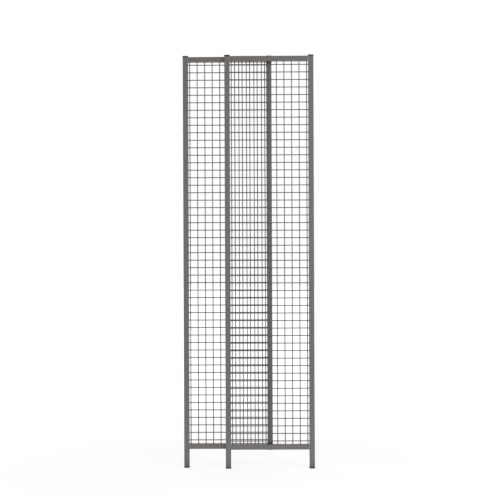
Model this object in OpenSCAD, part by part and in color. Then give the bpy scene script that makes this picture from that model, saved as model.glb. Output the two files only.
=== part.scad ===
// Telescopic machine guard fence panel: a front tube-and-mesh frame on two posts,
// and a rear frame that slides behind it to set the width.
// Millimetres, +Z up, +X along the fence, the front looks along +Y.
// The origin is the middle of the underside of the front left foot cap.

/* [Frames] */
// Width of each frame over its outer tubes
frame_w = 473; // [300:1:900]
// Height of the front and rear frames over their rails
frame_h = 2090; // [1200:1:2400]
// Height of the bottom rail's underside above the floor
floor_gap = 100; // [60:1:250]
// How far the rear frame stands to the left of the front frame
rear_shift = 222.5; // [215:0.5:230]
// Gap between the back of the front frame and the front of the rear frame
plane_gap = 5; // [5:0.5:12]

/* [Tube] */
// Outside size of the square tube
tube = 28; // [25:0.5:35]
// Wall of the square tube
tube_wall = 2; // [1.2:0.1:2.5]
// Outside corner radius of the square tube
tube_r = 3; // [2.6:0.1:4]

/* [Welded mesh] */
// Distance from wire to wire
pitch = 40; // [25:0.5:60]
// Diameter of the wire
wire_d = 5; // [3:0.1:6]
// How deep crossing wires are welded into each other
weld_sink = 0.8; // [0.4:0.1:1]
// Least distance from a frame's tube to the first wire
wire_margin_min = 7; // [5:0.5:8]

/* [Caps] */
// Thickness of a cap's flange above or below the tube's end
cap_t = 6; // [3:0.5:8]
// How far a cap stands out beyond the tube's faces
cap_lip = 0.8; // [0:0.1:1]
// Length of the plug that goes up inside the tube
plug_l = 16; // [10:1:40]
// Clearance between a plug and the inside of the tube
plug_fit = 0.3; // [0.2:0.1:0.6]
// Bevel round a cap's outer edge
cap_bevel = 1.2; // [0.5:0.1:2]

/* [Guides] */
// Wall of the sleeves that carry the rear rails
guide_wall = 3; // [2:0.5:3]
// Inside bend radius of the sleeves
guide_bend = 2.5; // [1:0.5:3]
// Length of a sleeve along the rail
guide_l = 28; // [20:0.5:28]
// Clearance between a sleeve and the rail in it
guide_fit = 0.4; // [0.3:0.1:0.5]
// Clearance between the rear mesh and the edges of a sleeve's slot
slot_fit = 5; // [3:0.5:6]
// Gap between the clamp bolt's tip and the rail
bolt_gap = 0.3; // [0.2:0.1:0.5]
// Diameter of the clamp bolt's shank
bolt_d = 8; // [6:1:10]
// Width across the flats of the bolt head and of the weld nut
bolt_af = 13; // [12:1:17]
// Height of the bolt head
bolt_head_h = 5.5; // [4:0.5:8]
// Height of the weld nut on the sleeve
nut_h = 6.5; // [5:0.5:10]
// Chamfer on the corners of the weld nut
nut_chamfer = 0.9; // [0.3:0.1:1.2]
// Space between the weld nut and the bolt head
bolt_out = 3; // [1:0.5:6]
// Clearance round the bolt in its threaded hole
thread_fit = 0.1; // [0.05:0.05:0.3]

/* [Slide shoes] */
// Thickness of the shoe's lugs under or over the front rail
shoe_t = 8; // [4:0.5:9]
// Height of the shoe's pad against the stile
shoe_h = 22; // [15:1:25]
// How far the lugs reach in beside the front rail
shoe_reach = 7; // [2:0.5:7]
// Width of the notch between the two lugs
shoe_notch = 9; // [8:0.5:12]
// Running clearance between a shoe and the front rail
shoe_fit = 0.5; // [0.3:0.1:1]

/* [Hidden] */
$fn = 48;

powder = "#706c6a";
black = "#26262a";
zinc = "#b9bcc0";

// Heights
rail_low = floor_gap;
rail_high = floor_gap + frame_h - tube;
tube_top = floor_gap + frame_h;
open_low = rail_low + tube;
open_h = rail_high - open_low;

// Places along the fence, each the middle of an upright
front_left_x = 0;
front_right_x = frame_w - tube;
rear_left_x = -rear_shift;
rear_right_x = rear_left_x + frame_w - tube;
open_w = frame_w - 2 * tube;

// Planes, each the middle of a frame's tubes
front_y = 0;
rear_y = front_y + tube + plane_gap;

// How many wires fit into an opening, and where its first wire lies
function wires_in(opening) = floor((opening - 2 * wire_margin_min) / pitch) + 1;
function first_wire(opening) = (opening - (wires_in(opening) - 1) * pitch) / 2;
cross_wires = wires_in(open_h);
lower_cross_wires = ceil(cross_wires / 2);
mesh_split = open_low + first_wire(open_h) + (lower_cross_wires - 0.5) * pitch;

// The clamp bolt's places along Y, behind the rear rail
guide_back = rear_y + tube / 2 + guide_fit + guide_wall;
nut_back = guide_back + nut_h;
bolt_tip = rear_y + tube / 2 + bolt_gap;

// A square with round corners, about the origin
module round_square(size, r) {
    square([size - 2 * r, size], center = true);
    square([size, size - 2 * r], center = true);
    for (sx = [-1, 1], sy = [-1, 1])
        translate([sx * (size / 2 - r), sy * (size / 2 - r)])
            circle(r);
}

// Square tube that stands on z = 0
module tube_length(length) {
    linear_extrude(length)
        difference() {
            round_square(tube, tube_r);
            round_square(tube - 2 * tube_wall, tube_r - tube_wall);
        }
}

// Upright tube at x in the plane y, from z_low to z_high
module upright(x, y, z_low, z_high) {
    color(powder)
        translate([x, y, z_low])
            tube_length(z_high - z_low);
}

// Rail between two uprights of one frame: left_x is the middle of the left one
module rail(left_x, y, z_low) {
    color(powder)
        translate([left_x + tube / 2, y, z_low + tube / 2])
            rotate([0, 90, 0])
                tube_length(open_w);
}

// Eight-sided wire along +Z, with flats across its diameter
module wire(length) {
    rotate([0, 0, 22.5])
        cylinder(h = length, r = wire_d / 2 / cos(22.5), $fn = 8);
}

// Mesh between two uprights: the cross wires numbered from first to last,
// and the upright wires from z_low to z_high
module mesh(left_x, y, first, last, z_low, z_high) {
    layer = (wire_d - weld_sink) / 2;
    start = left_x + tube / 2;
    color(powder)
        union() {
            for (i = [0 : wires_in(open_w) - 1])
                translate([start + first_wire(open_w) + i * pitch, y + layer, z_low])
                    wire(z_high - z_low);
            for (j = [first : last])
                translate([start, y - layer, open_low + first_wire(open_h) + j * pitch])
                    rotate([0, 90, 0])
                        wire(open_w);
        }
}

module lower_mesh(left_x, y) {
    mesh(left_x, y, 0, lower_cross_wires - 1, open_low, mesh_split);
}

module upper_mesh(left_x, y) {
    mesh(left_x, y, lower_cross_wires, cross_wires - 1, mesh_split, rail_high);
}

// Plastic cap. As a foot its flange lies from z = 0 to cap_t and its plug above
// that; otherwise it is upside down, with its flange's outer face at z = 0
module cap(foot) {
    flange = tube + 2 * cap_lip;
    plug = tube - 2 * tube_wall - 2 * plug_fit;
    plug_r = max(tube_r - tube_wall - plug_fit, 0.2);
    color(black)
        mirror([0, 0, foot ? 0 : 1])
            difference() {
                union() {
                    linear_extrude(cap_bevel)
                        round_square(flange - cap_bevel, tube_r + cap_lip - cap_bevel / 2);
                    translate([0, 0, cap_bevel])
                        linear_extrude(cap_t - cap_bevel)
                            round_square(flange, tube_r + cap_lip);
                    translate([0, 0, cap_t])
                        linear_extrude(plug_l)
                            round_square(plug, plug_r);
                }
                translate([0, 0, cap_t])
                    linear_extrude(plug_l + 1)
                        round_square(plug - 2 * tube_wall, 0.5);
            }
}

// Cap on the floor under an upright at x in the plane y
module foot_cap(x, y) {
    translate([x, y, 0])
        cap(true);
}

// Cap on the tube's end at z
module end_cap(x, y, z, below) {
    translate([x, y, z + (below ? -cap_t : cap_t)])
        cap(below);
}

// Hexagon nut on z = 0 with its outer corners turned off
module weld_nut() {
    corner = bolt_af / 2 / cos(30);
    intersection() {
        cylinder(h = nut_h, r = corner, $fn = 6);
        union() {
            cylinder(h = nut_h - nut_chamfer, r = corner + 1);
            translate([0, 0, nut_h - nut_chamfer])
                cylinder(h = nut_chamfer, r1 = corner + 0.05, r2 = corner - nut_chamfer);
        }
    }
}

// C-shaped sleeve round the rear rail, on a pad that is welded to the back of the
// front left post. The rear mesh slides through its slot, on the side that opens
// points to, and a weld nut at the back takes the clamp bolt. rail_z is the
// middle of the rail.
module guide(rail_z, opens) {
    bore = tube + 2 * guide_fit;
    outer = bore + 2 * guide_wall;
    slot = 2 * wire_d - weld_sink + 2 * slot_fit;
    post_back = front_y + tube / 2;
    color(powder)
        difference() {
            union() {
                translate([front_left_x - guide_l / 2, rear_y, rail_z])
                    rotate([0, 90, 0])
                        linear_extrude(guide_l)
                            round_square(outer, guide_bend + guide_wall);
                translate([front_left_x - guide_l / 2, post_back, rail_z - tube / 2])
                    cube([guide_l, rear_y - post_back, tube]);
                translate([front_left_x, guide_back, rail_z])
                    rotate([-90, 0, 0])
                        weld_nut();
            }
            translate([front_left_x - guide_l, rear_y, rail_z])
                rotate([0, 90, 0])
                    linear_extrude(2 * guide_l)
                        round_square(bore, guide_bend);
            translate([front_left_x - guide_l, rear_y - slot / 2, opens > 0 ? rail_z : rail_z - outer])
                cube([2 * guide_l, slot, outer]);
            translate([front_left_x, rear_y, rail_z])
                rotate([-90, 0, 0])
                    cylinder(h = nut_back - rear_y + 1, d = bolt_d + 2 * thread_fit);
        }
}

// Hexagon bolt that clamps the rear rail in its sleeve
module clamp_bolt(rail_z) {
    head_y = nut_back + bolt_out;
    color(zinc)
        translate([front_left_x, bolt_tip, rail_z])
            rotate([-90, 0, 0]) {
                cylinder(h = head_y - bolt_tip, d = bolt_d);
                translate([0, 0, head_y - bolt_tip])
                    cylinder(h = bolt_head_h, r = bolt_af / 2 / cos(30), $fn = 6);
            }
}

// Plastic shoe on the front of the rear stile: a pad behind the front rail and
// two lugs beside the rail. edge_z is the rail's edge and side points into the frame.
module slide_shoe(edge_z, side) {
    pad_y = front_y + tube / 2 + shoe_fit;
    stile_face = rear_y - tube / 2;
    lug_w = (tube - shoe_notch) / 2;
    color(black)
        translate([rear_right_x, pad_y, edge_z + side * shoe_fit])
            mirror([0, 0, side > 0 ? 0 : 1]) {
                translate([-tube / 2, 0, shoe_t - shoe_h])
                    cube([tube, stile_face - pad_y, shoe_h - shoe_t]);
                for (left = [-tube / 2, tube / 2 - lug_w])
                    translate([left, -shoe_fit - shoe_reach, 0])
                        cube([lug_w, shoe_fit + shoe_reach + stile_face - pad_y, shoe_t]);
            }
}

module front_left_post() upright(front_left_x, front_y, cap_t, tube_top);
module front_right_post() upright(front_right_x, front_y, cap_t, tube_top);
module front_top_rail() rail(front_left_x, front_y, rail_high);
module front_bottom_rail() rail(front_left_x, front_y, rail_low);
module front_mesh_upper() upper_mesh(front_left_x, front_y);
module front_mesh_lower() lower_mesh(front_left_x, front_y);
module front_left_top_cap() end_cap(front_left_x, front_y, tube_top, false);
module front_right_top_cap() end_cap(front_right_x, front_y, tube_top, false);
module front_left_foot_cap() foot_cap(front_left_x, front_y);
module front_right_foot_cap() foot_cap(front_right_x, front_y);
module upper_guide() guide(rail_high + tube / 2, -1);
module lower_guide() guide(rail_low + tube / 2, 1);
module upper_clamp_bolt() clamp_bolt(rail_high + tube / 2);
module lower_clamp_bolt() clamp_bolt(rail_low + tube / 2);

module rear_left_post() upright(rear_left_x, rear_y, cap_t, tube_top);
module rear_right_stile() upright(rear_right_x, rear_y, rail_low, tube_top);
module rear_top_rail() rail(rear_left_x, rear_y, rail_high);
module rear_bottom_rail() rail(rear_left_x, rear_y, rail_low);
module rear_mesh_upper() upper_mesh(rear_left_x, rear_y);
module rear_mesh_lower() lower_mesh(rear_left_x, rear_y);
module rear_left_top_cap() end_cap(rear_left_x, rear_y, tube_top, false);
module rear_left_foot_cap() foot_cap(rear_left_x, rear_y);
module rear_stile_top_plug() end_cap(rear_right_x, rear_y, tube_top, false);
module rear_stile_bottom_plug() end_cap(rear_right_x, rear_y, rail_low, true);
module upper_slide_shoe() slide_shoe(rail_high, -1);
module lower_slide_shoe() slide_shoe(open_low, 1);

front_left_post();
front_right_post();
front_top_rail();
front_bottom_rail();
front_mesh_upper();
front_mesh_lower();
front_left_top_cap();
front_right_top_cap();
front_left_foot_cap();
front_right_foot_cap();
upper_guide();
lower_guide();
upper_clamp_bolt();
lower_clamp_bolt();
rear_left_post();
rear_right_stile();
rear_top_rail();
rear_bottom_rail();
rear_mesh_upper();
rear_mesh_lower();
rear_left_top_cap();
rear_left_foot_cap();
rear_stile_top_plug();
rear_stile_bottom_plug();
upper_slide_shoe();
lower_slide_shoe();
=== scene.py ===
import math
import random

import bmesh
import bpy
from mathutils import Matrix, Vector


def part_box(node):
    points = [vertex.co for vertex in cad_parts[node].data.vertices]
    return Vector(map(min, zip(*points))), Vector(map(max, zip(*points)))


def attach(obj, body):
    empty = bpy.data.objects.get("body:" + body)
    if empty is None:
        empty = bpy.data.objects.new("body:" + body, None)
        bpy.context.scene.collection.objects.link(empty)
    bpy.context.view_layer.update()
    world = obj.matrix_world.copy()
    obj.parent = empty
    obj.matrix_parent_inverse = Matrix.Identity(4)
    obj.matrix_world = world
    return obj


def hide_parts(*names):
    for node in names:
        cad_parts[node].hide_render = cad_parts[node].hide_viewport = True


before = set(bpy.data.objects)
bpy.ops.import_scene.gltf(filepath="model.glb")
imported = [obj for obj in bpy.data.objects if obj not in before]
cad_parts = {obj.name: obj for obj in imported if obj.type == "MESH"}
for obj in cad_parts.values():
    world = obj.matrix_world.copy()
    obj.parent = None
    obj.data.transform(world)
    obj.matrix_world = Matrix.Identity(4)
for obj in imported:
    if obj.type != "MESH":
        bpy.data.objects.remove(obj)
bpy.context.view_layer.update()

MM = 0.001
X, Y, Z = Vector((1, 0, 0)), Vector((0, 1, 0)), Vector((0, 0, 1))

# Welded mesh, with the pitch, wire and margin of the solids
PITCH = 40 * MM
WIRE_D = 5 * MM
WIRE_SINK = 0.8 * MM          # how deep crossing wires are pressed into each other
WIRE_MARGIN = 7 * MM          # least distance from a tube to its first wire
WIRE_SIDES = 12
REAR_MESH_RAISED = 2.2 * MM   # the rear mesh is welded in a little high
NUGGET = Vector((3.8, 1.9, 3.8)) * MM      # half sizes of the upset metal at a crossing
TACK = 4.2 * MM               # radius of the tack that holds a wire's end to the tube
TACK_RISE = 2.0 * MM

# Weld beads between the rails and the uprights
RIPPLE = 2.6 * MM
RIPPLE_RINGS = 6
RIPPLE_DEPTH = 0.1
LUMP = 10.5 * MM
LUMP_RISE = 0.06
SWAY = 0.06                   # share of its half width by which a bead wanders
SWAY_LENGTH = 1.7 * LUMP
CRESCENT = 0.5                # how far a ripple's sides trail its middle, in ripples
END_LEAST, END_POWER = 0.3, 6              # share of its section that a bead's end keeps, and bluntness
BEAD_SIDES = 12
FACE_BEAD = (3.4 * MM, 1.9 * MM)           # half width and rise of the bead in a face groove
FACE_BEAD_PROUD = 0.7 * MM
FACE_BEAD_IN = 0.9 * MM       # the groove's middle, from the seam towards the upright
FACE_BEAD_SHORT = 1 * MM
FILLET_BEAD = (3.3 * MM, 1.7 * MM)
FILLET_OFF = 0.7 * MM         # how far a rail's fillet bead stands off both faces
EDGE_BEAD = (2.3 * MM, 1.1 * MM)
EDGE_BEAD_OUT = 2.9 * MM      # the bead's middle, from the seam towards the rail
EDGE_BEAD_SUNK = 0.3 * MM
LEVEL = 1 * MM                # an upright that ends this close to a rail's edge is level with it
BEAD_ROOT = 1 * MM            # how far a sleeve bead's middle line stands off its corner
BEAD_SHORT = 3 * MM           # how far a bead ends from the tube's edge

# Clamp bolts, M8
BOLT_D = 8 * MM
BOLT_FLATS = 13 * MM
BOLT_HEAD_H = 5.5 * MM
HEAD_SIDES = 48
HEAD_TURNED = 0.97            # where the turned chamfer starts, as a share of the flats
HEAD_TOP = 0.98               # the flat top's share of that
HEAD_CHAMFER = math.radians(30)
THREAD_PITCH = 1.25 * MM
THREAD_DEPTH = 0.6 * MM
THREAD_SIDES = 24
THREAD_RINGS = 6              # for each turn
THREAD_TIP = 1 * MM           # chamfer at the thread's end
THREAD_IN_HEAD = 0.5 * MM

# Moulded caps
CAP_RIM = 1.4 * MM
CAP_CORNER = 3.4 * MM
CAP_PLUG = 16 * MM
CAP_INSET = 3.1 * MM          # leaves 0.3 mm between the plug and the tube
CAP_WALL = 2 * MM
PLUG_CORNER = 0.6 * MM
SHOE_EDGE = 0.6 * MM

# Grain of the finishes, in mm
COAT_CLOUD = 55               # patches of thicker film
COAT_DRIFT = 20               # patches of more and less gloss
PEEL_GRAIN = 0.25             # the grain on the orange peel, as a share of its size and height
PLASTIC_BLOOM = 9
PLASTIC_PIT = 0.7
PLASTIC_PIT_DEPTH = 0.05
ZINC_CLOUD = 4
ZINC_SCUFF = 0.5
ZINC_SCUFF_DEPTH = 0.02


def linear(hex_colour):
    """An sRGB hex colour as linear red, green, blue and alpha."""
    channels = [int(hex_colour[i:i + 2], 16) / 255 for i in (1, 3, 5)]
    return [c / 12.92 if c <= 0.04045 else ((c + 0.055) / 1.055) ** 2.4 for c in channels] + [1]


def add(tree, kind, settings=None, **inputs):
    """Adds a node to the tree. Spaces in an input's name are written as _, and each input is
    a value for the socket or another node's output to link to it."""
    made = tree.nodes.new(kind)
    for field, value in (settings or {}).items():
        setattr(made, field, value)
    for name, value in inputs.items():
        socket = made.inputs[int(name[1:])] if name[0] == "_" else made.inputs[name.replace("_", " ")]
        if isinstance(value, bpy.types.NodeSocket):
            tree.links.new(value, socket)
        else:
            socket.default_value = value
    return made


def per_mm(size):
    """Texture scale at which one feature is about this many millimetres across."""
    return 1 / (size * MM)


def new_material(name):
    """An empty material, its node tree, and the place of each point on the object."""
    material = bpy.data.materials.new(name)
    material.use_nodes = True
    tree = material.node_tree
    tree.nodes.clear()
    place = add(tree, "ShaderNodeTexCoord").outputs["Object"]
    return material, tree, place


def powder_coat(name, colour, cloud_colour, peel, peel_height, gloss, pooled=0.0):
    """Polyester powder coat on steel, sprayed and baked: a satin skin whose orange peel
    breaks up reflections, with faint clouds where the film is thicker. Peel and peel_height are
    the orange peel's width and height in mm, and gloss its least and most roughness. Pooled is
    how far the powder has run together into a thick glossy film."""
    material, tree, place = new_material(name)
    clouds = add(tree, "ShaderNodeTexNoise", Vector=place, Scale=per_mm(COAT_CLOUD), Detail=3.0,
                 Roughness=0.6)
    tone = add(tree, "ShaderNodeMix", {"data_type": "RGBA"}, Factor=clouds.outputs["Fac"],
               _6=linear(colour), _7=linear(cloud_colour))
    # gloss drifts a little with the film
    drift = add(tree, "ShaderNodeTexNoise", Vector=place, Scale=per_mm(COAT_DRIFT), Detail=2.0)
    roughness = add(tree, "ShaderNodeMapRange", Value=drift.outputs["Fac"], From_Min=0.3, From_Max=0.7,
                    To_Min=gloss[0], To_Max=gloss[1])
    # orange peel: waves of the flowed powder, with its finer grain on top
    waves = add(tree, "ShaderNodeTexNoise", Vector=place, Scale=per_mm(peel), Detail=1.0, Roughness=0.4)
    grain = add(tree, "ShaderNodeTexNoise", Vector=place, Scale=per_mm(peel * PEEL_GRAIN), Detail=1.0)
    grain_height = add(tree, "ShaderNodeMath", {"operation": "MULTIPLY"}, _0=grain.outputs["Fac"],
                       _1=PEEL_GRAIN)
    height = add(tree, "ShaderNodeMath", {"operation": "ADD"}, _0=waves.outputs["Fac"],
                 _1=grain_height.outputs["Value"])
    skin = add(tree, "ShaderNodeBump", Height=height.outputs["Value"], Strength=1.0,
               Distance=peel_height * MM)
    shader = add(tree, "ShaderNodeBsdfPrincipled", Base_Color=tone.outputs["Result"],
                 Roughness=roughness.outputs["Result"], Normal=skin.outputs["Normal"], IOR=1.5,
                 Coat_Weight=pooled, Coat_Roughness=0.12)
    add(tree, "ShaderNodeOutputMaterial", Surface=shader.outputs["BSDF"])
    return material


def moulded_plastic(name, colour, worn_colour, shine):
    """Injection moulded plastic with a spark-eroded mould texture: near black and matt, with a
    greyish bloom in patches. Shine is how much its skin mirrors."""
    material, tree, place = new_material(name)
    bloom = add(tree, "ShaderNodeTexNoise", Vector=place, Scale=per_mm(PLASTIC_BLOOM), Detail=4.0,
                Roughness=0.65)
    amount = add(tree, "ShaderNodeMapRange", Value=bloom.outputs["Fac"], From_Min=0.4, From_Max=0.75)
    tone = add(tree, "ShaderNodeMix", {"data_type": "RGBA"}, Factor=amount.outputs["Result"],
               _6=linear(colour), _7=linear(worn_colour))
    # erosion pits, drawn a little larger than the real ones so that they show
    pits = add(tree, "ShaderNodeTexVoronoi", {"feature": "SMOOTH_F1"}, Vector=place,
               Scale=per_mm(PLASTIC_PIT), Smoothness=0.6)
    texture = add(tree, "ShaderNodeBump", Height=pits.outputs["Distance"], Strength=1.0,
                  Distance=PLASTIC_PIT_DEPTH * MM)
    roughness = add(tree, "ShaderNodeMapRange", Value=bloom.outputs["Fac"], From_Min=0.3, From_Max=0.7,
                    To_Min=0.48, To_Max=0.62)
    shader = add(tree, "ShaderNodeBsdfPrincipled", Base_Color=tone.outputs["Result"],
                 Roughness=roughness.outputs["Result"], Normal=texture.outputs["Normal"], IOR=1.5,
                 Specular_IOR_Level=shine)
    add(tree, "ShaderNodeOutputMaterial", Surface=shader.outputs["BSDF"])
    return material


def zinc_plating(name, colour, shade_colour):
    """Bright zinc plate with clear passivation on turned and pressed steel: a cool silver whose
    film is cloudy and scuffed by the spanner."""
    material, tree, place = new_material(name)
    clouds = add(tree, "ShaderNodeTexNoise", Vector=place, Scale=per_mm(ZINC_CLOUD), Detail=4.0,
                 Roughness=0.6)
    tone = add(tree, "ShaderNodeMix", {"data_type": "RGBA"}, Factor=clouds.outputs["Fac"],
               _6=linear(colour), _7=linear(shade_colour))
    roughness = add(tree, "ShaderNodeMapRange", Value=clouds.outputs["Fac"], From_Min=0.3, From_Max=0.7,
                    To_Min=0.24, To_Max=0.42)
    scuffs = add(tree, "ShaderNodeTexNoise", Vector=place, Scale=per_mm(ZINC_SCUFF), Detail=2.0)
    texture = add(tree, "ShaderNodeBump", Height=scuffs.outputs["Fac"], Strength=1.0,
                  Distance=ZINC_SCUFF_DEPTH * MM)
    shader = add(tree, "ShaderNodeBsdfPrincipled", Base_Color=tone.outputs["Result"], Metallic=1.0,
                 Roughness=roughness.outputs["Result"], Normal=texture.outputs["Normal"])
    add(tree, "ShaderNodeOutputMaterial", Surface=shader.outputs["BSDF"])
    return material


def new_piece(name, bm, material, body, replaced=(), crease=40):
    """Makes the finished mesh a piece of the part. Faces that meet at less than crease
    degrees are shaded as one round surface."""
    bmesh.ops.recalc_face_normals(bm, faces=bm.faces)
    for face in bm.faces:
        face.smooth = True
    mesh = bpy.data.meshes.new(name)
    bm.to_mesh(mesh)
    bm.free()
    mesh.set_sharp_from_angle(angle=math.radians(crease))
    mesh.materials.append(material)
    piece = bpy.data.objects.new(name, mesh)
    bpy.context.scene.collection.objects.link(piece)
    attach(piece, body)
    if replaced:
        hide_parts(*replaced)
    return piece


def join(bm, part):
    """Adds a finished mesh to another one."""
    mesh = bpy.data.meshes.new("part")
    part.to_mesh(mesh)
    part.free()
    bm.from_mesh(mesh)
    bpy.data.meshes.remove(mesh)


def copy_moved(bm, geom, vec):
    """Repeats a shape at this distance from the first."""
    copied = bmesh.ops.duplicate(bm, geom=geom)["geom"]
    bmesh.ops.translate(bm, vec=vec, verts=[v for v in copied if isinstance(v, bmesh.types.BMVert)])


def frame_of(across, out, along, centre):
    """Matrix that turns X, Y and Z into these three directions, about centre."""
    turn = Matrix((across, out, along)).transposed().to_4x4()
    return Matrix.Translation(centre) @ turn


def add_wire(bm, start, end):
    along = (end - start).normalized()
    place = frame_of(Y.cross(along), Y, along, (start + end) / 2)
    bmesh.ops.create_cone(bm, cap_ends=True, segments=WIRE_SIDES, radius1=WIRE_D / 2, radius2=WIRE_D / 2,
                          depth=(end - start).length, matrix=place)


def add_blob(bm, centre, half_sizes, u=8, v=5):
    """A soft lump of weld metal."""
    size = Matrix.Diagonal((*half_sizes, 1))
    bmesh.ops.create_uvsphere(bm, u_segments=u, v_segments=v, radius=1,
                              matrix=Matrix.Translation(centre) @ size)


def wires_in(opening):
    """Where the wires lie in an opening, measured from its edge."""
    count = math.floor((opening - 2 * WIRE_MARGIN) / PITCH + 1e-6) + 1
    first = (opening - (count - 1) * PITCH) / 2
    return [first + i * PITCH for i in range(count)]


def welded_mesh(name, body, material, lower, upper, raised=0.0):
    """Round-wire mesh in the opening that two mesh nodes fill, with its cross wires raised
    this far above even margins."""
    lo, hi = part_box(lower)[0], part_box(upper)[1]
    layer = (WIRE_D - WIRE_SINK) / 2
    middle = (lo.y + hi.y) / 2
    uprights = [lo.x + d for d in wires_in(hi.x - lo.x)]
    crosses = [lo.z + d + raised for d in wires_in(hi.z - lo.z)]
    bm = bmesh.new()
    # the first upright wire and its tacks, then the others beside it
    x, y = uprights[0], middle + layer
    add_wire(bm, Vector((x, y, lo.z)), Vector((x, y, hi.z)))
    for z in (lo.z, hi.z):
        add_blob(bm, Vector((x, y, z)), (TACK, TACK, TACK_RISE))
    first = bm.verts[:] + bm.edges[:] + bm.faces[:]
    for other in uprights[1:]:
        copy_moved(bm, first, X * (other - x))
    # the lowest cross wire with its tacks and weld nuggets, then the others above it
    row = bmesh.new()
    y, z = middle - layer, crosses[0]
    add_wire(row, Vector((lo.x, y, z)), Vector((hi.x, y, z)))
    for x in (lo.x, hi.x):
        add_blob(row, Vector((x, y, z)), (TACK_RISE, TACK, TACK))
    for x in uprights:
        add_blob(row, Vector((x, middle, z)), NUGGET)
    first = row.verts[:] + row.edges[:] + row.faces[:]
    for other in crosses[1:]:
        copy_moved(row, first, Z * (other - z))
    join(bm, row)
    return new_piece(name, bm, material, body, (lower, upper), crease=50)


def ringed_rod(sides, rings):
    """Rod of unit radius from z = -0.5 to 0.5, cut into rings."""
    rod = bmesh.new()
    bmesh.ops.create_cone(rod, cap_ends=True, segments=sides, radius1=1, radius2=1, depth=1)
    lengthwise = [e for e in rod.edges if abs(e.verts[0].co.z - e.verts[1].co.z) > 0.5]
    bmesh.ops.subdivide_edges(rod, edges=lengthwise, cuts=rings)
    return rod


def add_bead(bm, start, end, across, out, half_width, rise, draw):
    """Weld bead from start to end: a rod of weld metal whose rings swell into ripples, with
    slower lumps where the torch paused, and soft ends."""
    length = (end - start).length
    rod = ringed_rod(BEAD_SIDES, max(2, round(length / RIPPLE)) * RIPPLE_RINGS)
    along = (end - start).normalized()
    ripple_at, lump_at, sway_at = (draw.uniform(0, math.tau) for _ in range(3))
    for v in rod.verts:
        t = v.co.z + 0.5
        s = t * length
        ripple = 1 - RIPPLE_DEPTH * abs(math.cos(math.pi * s / RIPPLE + ripple_at))
        lump = 1 + LUMP_RISE * math.sin(math.tau * s / LUMP + lump_at)
        soft_end = max(END_LEAST, 1 - abs(2 * t - 1) ** END_POWER) ** 0.5
        crescent = CRESCENT * RIPPLE * v.co.x ** 2 * soft_end
        sway = SWAY * math.sin(math.tau * s / SWAY_LENGTH + sway_at)
        v.co = (start + along * (s - crescent)
                + across * half_width * soft_end * (v.co.x * ripple + sway)
                + out * rise * soft_end * v.co.y * ripple * lump)
    join(bm, rod)


def add_corner(bm, post, rail, draw):
    """The four beads where a rail butts against an upright."""
    p_lo, p_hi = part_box(post)
    r_lo, r_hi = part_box(rail)
    right = r_lo.x > p_lo.x
    seam, away = (p_hi.x, 1) if right else (p_lo.x, -1)
    y_mid = (r_lo.y + r_hi.y) / 2
    half = (r_hi.y - r_lo.y) / 2
    z_mid = (r_lo.z + r_hi.z) / 2
    reach = half - FACE_BEAD_SHORT
    span = half - BEAD_SHORT
    for side in (-1, 1):
        y = y_mid + side * (half - FACE_BEAD[1] * (1 + LUMP_RISE) + FACE_BEAD_PROUD)
        x = seam - away * FACE_BEAD_IN
        add_bead(bm, Vector((x, y, z_mid - reach)), Vector((x, y, z_mid + reach)),
                 X * -side, Y * side, *FACE_BEAD, draw)
    for up in (-1, 1):
        z = z_mid + up * half
        flush = abs((p_hi.z if up > 0 else p_lo.z) - z) < LEVEL
        if flush:
            # the upright ends level with the rail and carries a cap
            x, z = seam + away * EDGE_BEAD_OUT, z - up * EDGE_BEAD_SUNK
            across, out, size = X, Z * up, EDGE_BEAD
        else:
            x, z = seam + away * FILLET_OFF, z + up * FILLET_OFF
            out = (X * away + Z * up).normalized()
            across, size = out.cross(Y), FILLET_BEAD
        add_bead(bm, Vector((x, y_mid - span, z)), Vector((x, y_mid + span, z)), across, out, *size, draw)


def corner_welds(name, body, material, corners, seed):
    """The beads at all corners of one frame."""
    draw = random.Random(seed)
    bm = bmesh.new()
    for post, rail in corners:
        add_corner(bm, post, rail, draw)
    return new_piece(name, bm, material, body, crease=70)


def sleeve_welds(name, body, material, post, sleeves, seed):
    """Beads along the sleeves' flanges on the back of the post. A flange that lies above the
    post's end, against its cap, has none."""
    draw = random.Random(seed)
    bm = bmesh.new()
    p_lo, p_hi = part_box(post)
    for sleeve in sleeves:
        lo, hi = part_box(sleeve)
        for z, up in ((lo.z, -1), (hi.z, 1)):
            if z > p_hi.z:
                continue
            out = (Y + Z * up).normalized()
            root = Vector((0, p_hi.y, z)) + out * BEAD_ROOT
            add_bead(bm, root + X * (p_lo.x + BEAD_SHORT), root + X * (p_hi.x - BEAD_SHORT),
                     out.cross(X), out, *FILLET_BEAD, draw)
    return new_piece(name, bm, material, body, crease=70)


def hexagon_radius(angle, flats):
    """Distance from the middle of a hexagon to its outline at this angle."""
    turned = (angle + math.pi / 6) % (math.pi / 3) - math.pi / 6
    return flats / 2 / math.cos(turned)


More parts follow.
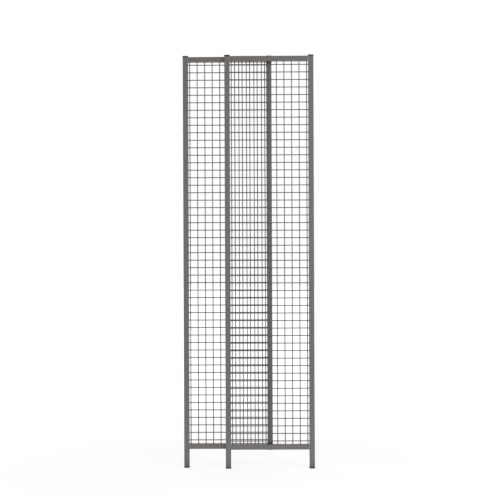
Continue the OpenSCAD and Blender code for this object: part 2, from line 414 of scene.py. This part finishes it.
def add_hex_head(bm, z_low, height):
    """Hexagon head whose outer corners are turned off."""
    circle = bmesh.ops.create_circle(bm, cap_ends=True, segments=HEAD_SIDES, radius=1)["verts"]
    for v in circle:
        angle = math.atan2(v.co.y, v.co.x)
        v.co = Vector((math.cos(angle), math.sin(angle), 0)) * hexagon_radius(angle, BOLT_FLATS)
        v.co.z = z_low
    base = circle[0].link_faces[0]
    side = bmesh.ops.extrude_face_region(bm, geom=[base])["geom"]
    rim = [v for v in side if isinstance(v, bmesh.types.BMVert)]
    top = next(f for f in side if isinstance(f, bmesh.types.BMFace))
    turned = BOLT_FLATS / 2 * HEAD_TURNED
    for v in rim:
        over = max(0, Vector((v.co.x, v.co.y)).length - turned)
        v.co.z = z_low + height - over * math.tan(HEAD_CHAMFER)
    # the inset only makes the corners of the flat top, which are placed next
    bmesh.ops.inset_region(bm, faces=[top], thickness=0.2 * MM, use_even_offset=True)
    for v in top.verts:
        flat = Vector((v.co.x, v.co.y, 0)).normalized() * turned * HEAD_TOP
        v.co = Vector((flat.x, flat.y, z_low + height))


def add_thread(bm, length):
    """Screw thread from z = 0, with a chamfered tip."""
    rod = ringed_rod(THREAD_SIDES, round(length / THREAD_PITCH) * THREAD_RINGS)
    for v in rod.verts:
        z = (v.co.z + 0.5) * length
        angle = math.atan2(v.co.y, v.co.x)
        turn = (z / THREAD_PITCH - angle / math.tau) % 1
        radius = BOLT_D / 2 - THREAD_DEPTH * abs(2 * turn - 1)
        radius = min(radius, BOLT_D / 2 - THREAD_TIP + z)
        v.co = Vector((math.cos(angle) * radius, math.sin(angle) * radius, z))
    join(bm, rod)


def clamp_bolt(name, node, material):
    """Hexagon bolt along Y, with its head at the back."""
    lo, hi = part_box(node)
    bm = bmesh.new()
    head = hi.y - lo.y - BOLT_HEAD_H
    add_thread(bm, head + THREAD_IN_HEAD)
    add_hex_head(bm, head, BOLT_HEAD_H)
    place = frame_of(X, -Z, Y, Vector(((lo.x + hi.x) / 2, lo.y, (lo.z + hi.z) / 2)))
    bmesh.ops.transform(bm, matrix=place, verts=bm.verts)
    return new_piece(name, bm, material, "front_frame", (node,), crease=28)


def inset_and_raise(bm, face, thickness, vec):
    """Insets a face, extrudes what is left by vec and returns it."""
    bmesh.ops.inset_region(bm, faces=[face], thickness=thickness, use_even_offset=True)
    raised = bmesh.ops.extrude_discrete_faces(bm, faces=[face])["faces"][0]
    bmesh.ops.translate(bm, vec=vec, verts=raised.verts)
    return raised


def round_edges(bm, edges, radius, segments, **limits):
    """Rounds edges, with any limits that the bevel has to keep to."""
    bmesh.ops.bevel(bm, geom=edges, affect="EDGES", offset=radius, segments=segments, profile=0.5,
                    material=-1, **limits)


def end_cap(name, node, body, material, plug_up):
    """Moulded cap: a flange with a soft rim and rounded corners, and its hollow plug in the tube."""
    lo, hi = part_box(node)
    flange = hi.z - lo.z - CAP_PLUG
    inward = Z if plug_up else -Z
    outer = lo.z if plug_up else hi.z
    middle = Vector(((lo.x + hi.x) / 2, (lo.y + hi.y) / 2, outer)) + inward * flange / 2
    bm = bmesh.new()
    size = Matrix.Diagonal((hi.x - lo.x, hi.y - lo.y, flange, 1))
    bmesh.ops.create_cube(bm, size=1, matrix=Matrix.Translation(middle) @ size)
    tube_side = max(bm.faces, key=lambda f: f.calc_center_median().dot(inward))
    plug_end = inset_and_raise(bm, tube_side, CAP_INSET, inward * CAP_PLUG)
    inset_and_raise(bm, plug_end, CAP_WALL, -inward * CAP_PLUG)
    upright = [e for e in bm.edges if abs(e.verts[0].co.z - e.verts[1].co.z) > flange / 2]
    corners = [e for e in upright if abs(e.verts[0].co.x - middle.x) > (hi.x - lo.x) / 2 - CAP_INSET / 2]
    round_edges(bm, [e for e in upright if e not in corners], PLUG_CORNER, 3)
    round_edges(bm, corners, CAP_CORNER, 6)
    outer_side = min(bm.faces, key=lambda f: f.calc_center_median().dot(inward))
    round_edges(bm, list(outer_side.edges), CAP_RIM, 4)
    return new_piece(name, bm, material, body, (node,), crease=35)


def slide_shoe(name, node, material):
    """Moulded shoe: the CAD shape with its edges rounded."""
    bm = bmesh.new()
    bm.from_mesh(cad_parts[node].data)
    bmesh.ops.remove_doubles(bm, verts=bm.verts, dist=0.001 * MM)
    bmesh.ops.dissolve_limit(bm, angle_limit=math.radians(1), verts=bm.verts, edges=bm.edges)
    round_edges(bm, list(bm.edges), SHOE_EDGE, 3, clamp_overlap=True)
    return new_piece(name, bm, material, "rear_frame", (node,), crease=35)


# Finishes
frame_coat = powder_coat("satin_grey_powder_coat_tube", "#686462", "#6d6967",
                         peel=2.4, peel_height=0.03, gloss=(0.32, 0.40))
# painted shade: the wires carry the same powder as the tubes, and this coat is a shade darker to stand in
# for the shade on the thin round wires
mesh_coat = powder_coat("satin_grey_powder_coat_wire_painted_shade", "#5a5654", "#5f5b59",
                        peel=1.6, peel_height=0.02, gloss=(0.34, 0.42))
weld_coat = powder_coat("satin_grey_powder_coat_weld", "#6a6664", "#6f6b69",
                        peel=3.5, peel_height=0.008, gloss=(0.18, 0.26), pooled=0.8)
cap_plastic = moulded_plastic("black_polyethylene", "#0e0e0f", "#171718", shine=0.25)
shoe_plastic = moulded_plastic("black_polyamide", "#29292a", "#363637", shine=0.5)
bolt_zinc = zinc_plating("bright_zinc_plate", "#c3c7cb", "#aeb2b8")
finishes = {
    "frame_powder_coat": frame_coat,
    "mesh_powder_coat": mesh_coat,
    "black_plastic": cap_plastic,
    "zinc_plate": bolt_zinc,
}
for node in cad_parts.values():
    for socket in node.material_slots:
        socket.material = finishes[socket.material.name]

# Welded mesh and frame welds
welded_mesh("front_mesh", "front_frame", mesh_coat, "front_mesh_lower", "front_mesh_upper")
welded_mesh("rear_mesh", "rear_frame", mesh_coat, "rear_mesh_lower", "rear_mesh_upper",
            raised=REAR_MESH_RAISED)
corner_welds("front_corner_welds", "front_frame", weld_coat, [
    (post, rail) for post in ("front_left_post", "front_right_post")
    for rail in ("front_top_rail", "front_bottom_rail")], seed=4)
corner_welds("rear_corner_welds", "rear_frame", weld_coat, [
    (post, rail) for post in ("rear_left_post", "rear_right_stile")
    for rail in ("rear_top_rail", "rear_bottom_rail")], seed=9)
sleeve_welds("sleeve_welds", "front_frame", weld_coat, "front_left_post",
             ("lower_guide", "upper_guide"), seed=6)

# Caps, plugs, shoes and bolts
for place, body, plug_up in (
        ("front_left_top_cap", "front_frame", False), ("front_right_top_cap", "front_frame", False),
        ("front_left_foot_cap", "front_frame", True), ("front_right_foot_cap", "front_frame", True),
        ("rear_left_top_cap", "rear_frame", False), ("rear_left_foot_cap", "rear_frame", True),
        ("rear_stile_top_plug", "rear_frame", False), ("rear_stile_bottom_plug", "rear_frame", True)):
    end_cap(place + "_moulded", place, body, cap_plastic, plug_up)
for place in ("upper_slide_shoe", "lower_slide_shoe"):
    slide_shoe(place + "_moulded", place, shoe_plastic)
for place in ("upper_clamp_bolt", "lower_clamp_bolt"):
    clamp_bolt(place + "_threaded", place, bolt_zinc)

# Studio
FLOOR_SIZE = 60
FLOOR_NEAR, FLOOR_FAR = 1.0, 4.0           # distances between which the floor turns plain white
WHITE_NEAR, WHITE_FAR = 0.8, 1.0
FLOOR_LIT = (0.8, 0.8, 0.8, 1)             # what the floor throws back at the object
FLOOR_SHADED = (0.3, 0.3, 0.3, 1)          # what it adds to its glow where it is seen
FILL = 0.45                                # the white ground's light on the object
LAMP_POWER = 24
LAMP_SIZE = 0.25
LAMP_AT = Vector((1.75, -2.2, 1.70))
LAMP_AIM = Vector((0.1, 0, 1.2))
# a low white card that sends light up the legs
CARD_SIZE, CARD_POWER = (1.5, 0.32), 0.8
CARD_AT, CARD_AIM = Vector((0.05, -0.21, 0.02)), Vector((0.05, -0.21, 1))
# flat light from in front, which hides the wires' shadows behind them
FRONT_SIZE, FRONT_POWER = (1.4, 1.4), 58
FRONT_AT = Vector((0.15, -6.4, 1.35))
# a wide soft light that keeps the back from going dark
BACK_SIZE, BACK_POWER = (2.0, 2.0), 30
BACK_AT = Vector((-1.6, 3.6, 2.2))
EYE_AT = Vector((0.1519, -6.7817, 1.1793))
EYE_LENS, EYE_SENSOR = 91.88, 36           # mm
# radians that the camera stands off square
EYE_PITCH, EYE_YAW, EYE_ROLL = -0.0028, 0.0049, -0.0040


def white_to_eye(tree):
    """1 where the white ground is seen directly, in a reflection or through glass."""
    path = add(tree, "ShaderNodeLightPath")
    seen = add(tree, "ShaderNodeMath", {"operation": "MAXIMUM"}, _0=path.outputs["Is Camera Ray"],
               _1=path.outputs["Is Glossy Ray"])
    return add(tree, "ShaderNodeMath", {"operation": "MAXIMUM"}, _0=seen.outputs["Value"],
               _1=path.outputs["Is Transmission Ray"]).outputs["Value"]


def add_lamp(name, shape, size, power, place, aim, mirrored=True):
    """Adds an area lamp that the camera doesn't see. One that isn't mirrored shows in no
    reflection either."""
    lamp = bpy.data.lights.new(name, "AREA")
    lamp.shape, lamp.size, lamp.size_y, lamp.energy = shape, *size, power
    holder = bpy.data.objects.new(name, lamp)
    holder.location = place
    holder.rotation_euler = (aim - place).to_track_quat("-Z", "Y").to_euler()
    holder.visible_camera = False
    holder.visible_glossy = mirrored
    bpy.context.scene.collection.objects.link(holder)


def studio():
    """White ground that goes on to the horizon, with its lamps."""
    bm = bmesh.new()
    bmesh.ops.create_grid(bm, x_segments=1, y_segments=1, size=FLOOR_SIZE / 2)
    mesh = bpy.data.meshes.new("studio_floor")
    bm.to_mesh(mesh)
    bm.free()
    floor = bpy.data.objects.new("studio_floor", mesh)
    bpy.context.scene.collection.objects.link(floor)
    material, tree, place = new_material("white_studio_floor")
    seen = white_to_eye(tree)
    # near the object the floor is dim enough to keep its shadow, and further off it is plain white
    distance = add(tree, "ShaderNodeVectorMath", {"operation": "LENGTH"}, _0=place).outputs["Value"]
    white = add(tree, "ShaderNodeMapRange", Value=distance, From_Min=FLOOR_NEAR,
                From_Max=FLOOR_FAR, To_Min=WHITE_NEAR, To_Max=WHITE_FAR).outputs["Result"]
    glow = add(tree, "ShaderNodeMath", {"operation": "MULTIPLY"}, _0=white, _1=seen)
    tint = add(tree, "ShaderNodeMix", {"data_type": "RGBA"}, Factor=seen, _6=FLOOR_LIT,
               _7=FLOOR_SHADED)
    diffuse = add(tree, "ShaderNodeBsdfDiffuse", Color=tint.outputs["Result"])
    emission = add(tree, "ShaderNodeEmission", Strength=glow.outputs["Value"])
    both = add(tree, "ShaderNodeAddShader", _0=diffuse.outputs["BSDF"], _1=emission.outputs["Emission"])
    add(tree, "ShaderNodeOutputMaterial", Surface=both.outputs["Shader"])
    mesh.materials.append(material)

    world = bpy.data.worlds.new("studio_white")
    world.use_nodes = True
    tree = world.node_tree
    tree.nodes.clear()
    strength = add(tree, "ShaderNodeMapRange", Value=white_to_eye(tree), To_Min=FILL, To_Max=1.0)
    background = add(tree, "ShaderNodeBackground", Color=(1, 1, 1, 1), Strength=strength.outputs["Result"])
    add(tree, "ShaderNodeOutputWorld", Surface=background.outputs["Background"])
    bpy.context.scene.world = world

    add_lamp("main_softbox", "DISK", (LAMP_SIZE, LAMP_SIZE), LAMP_POWER, LAMP_AT, LAMP_AIM)
    add_lamp("floor_card", "RECTANGLE", CARD_SIZE, CARD_POWER, CARD_AT, CARD_AIM)
    add_lamp("back_softbox", "RECTANGLE", BACK_SIZE, BACK_POWER, BACK_AT, LAMP_AIM)
    add_lamp("front_fill", "DISK", FRONT_SIZE, FRONT_POWER, FRONT_AT, LAMP_AIM, mirrored=False)


def camera():
    data = bpy.data.cameras.new("camera")
    data.sensor_width, data.lens = EYE_SENSOR, EYE_LENS
    data.clip_end = 100
    eye = bpy.data.objects.new("camera", data)
    turn, roll = Matrix.Rotation(EYE_YAW, 4, "Z"), Matrix.Rotation(EYE_ROLL, 4, "Z")
    level = Matrix.Rotation(math.radians(90) + EYE_PITCH, 4, "X")
    eye.matrix_world = Matrix.Translation(EYE_AT) @ turn @ level @ roll
    bpy.context.scene.collection.objects.link(eye)
    bpy.context.scene.camera = eye


studio()
camera()
bpy.context.scene.view_settings.view_transform = "Standard"
